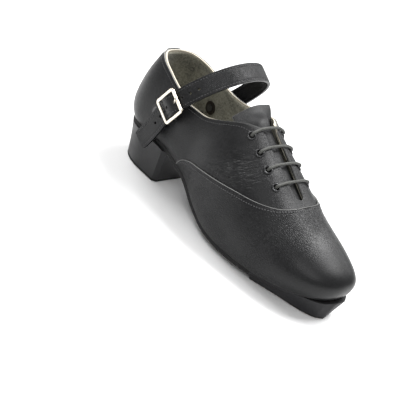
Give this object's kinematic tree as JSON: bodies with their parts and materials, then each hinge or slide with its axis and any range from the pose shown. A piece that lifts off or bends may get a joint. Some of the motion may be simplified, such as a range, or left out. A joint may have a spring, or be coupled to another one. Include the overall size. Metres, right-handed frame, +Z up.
{
  "type": "tap shoe",
  "caption": "Right-foot hard dance shoe for tap and step dancing: raised toe tip, hollow block heel, grained laced upper and a buckled ankle strap that swings on rivets.",
  "frame": {"origin": "centre of the heel's ground face", "axes": "+X from heel to toe, +Y towards the wearer's left (the inner side of this right shoe), +Z up"},
  "size_m": [0.2396, 0.0794, 0.1179],
  "materials": {
    "grained_leather": "pebble-grained black leather, half gloss",
    "quarter_leather": "smooth black leather, softly creased, half gloss",
    "strap_leather": "smooth black leather, glossy at the bends",
    "tongue_leather": "soft black leather, half matt",
    "patch_leather": "dark leather, matt",
    "sole_leather": "black roughed leather, matt",
    "lining_suede": "grey-tan suede",
    "interlining": "woven cotton, matt",
    "stiffener": "thermoplastic sheet, matt",
    "fibreboard": "cellulose fibre board, matt",
    "cork": "cork, matt",
    "lace_cord": "waxed round cord",
    "eyelet_black": "black enamel, half gloss",
    "rivet_black": "black enamel, half gloss",
    "buckle_metal": "polished nickel plate",
    "steel": "bright zinc plate",
    "heel_plastic": "black moulded resin, half gloss",
    "heel_rubber": "dense black rubber",
    "tip_composite": "resin and glass-fibre composite, sides painted black, tread face bare tan"
  },
  "bodies": {
    "shoe": {"vamp": "grained_leather", "quarter_outer": "quarter_leather", "quarter_inner": "quarter_leather", "backstay": "quarter_leather", "vamp_lining": "lining_suede", "quarter_lining": "lining_suede", "toe_puff": "stiffener", "heel_counter": "stiffener", "interlining": "interlining", "eyelets": "eyelet_black", "lace": "lace_cord", "insole_board": "fibreboard", "sock_liner": "lining_suede", "shank": "steel", "sole_filler": "cork", "outsole": "sole_leather", "heel_block": "heel_plastic", "heel_lift": "heel_rubber", "heel_screw": "steel", "heel_nails": "steel", "toe_tip": "tip_composite", "tip_screws": "steel", "strap_rivet_outer": "rivet_black", "strap_rivet_inner": "rivet_black", "rivet_patch_outer": "patch_leather", "rivet_patch_inner": "patch_leather"},
    "strap": {"ankle_strap": "strap_leather", "buckle_chape": "strap_leather"},
    "buckle": {"buckle_frame": "buckle_metal"},
    "prong": {"buckle_prong": "buckle_metal"},
    "tongue": {"tongue": "tongue_leather"}
  },
  "joints": [
    {"name": "strap_swing", "type": "hinge", "parent": "shoe", "child": "strap", "pos_m": [0.0105, 0, 0.0575], "axis": [0, 1, 0], "range_deg": [-30, 8]},
    {"name": "buckle_tilt", "type": "hinge", "parent": "strap", "child": "buckle", "pos_m": [0.024, -0.034, 0.0695], "axis": [0.8601, 0, -0.5101], "range_deg": [-1.5, 1.5]},
    {"name": "prong_tilt", "type": "hinge", "parent": "buckle", "child": "prong", "pos_m": [0.024, -0.034, 0.0695], "axis": [0.8601, 0, -0.5101], "range_deg": [0, 3]},
    {"name": "tongue_press", "type": "hinge", "parent": "shoe", "child": "tongue", "pos_m": [0.1425, 0, 0.0555], "axis": [0, 1, 0], "range_deg": [-15, 0]}
  ]
}
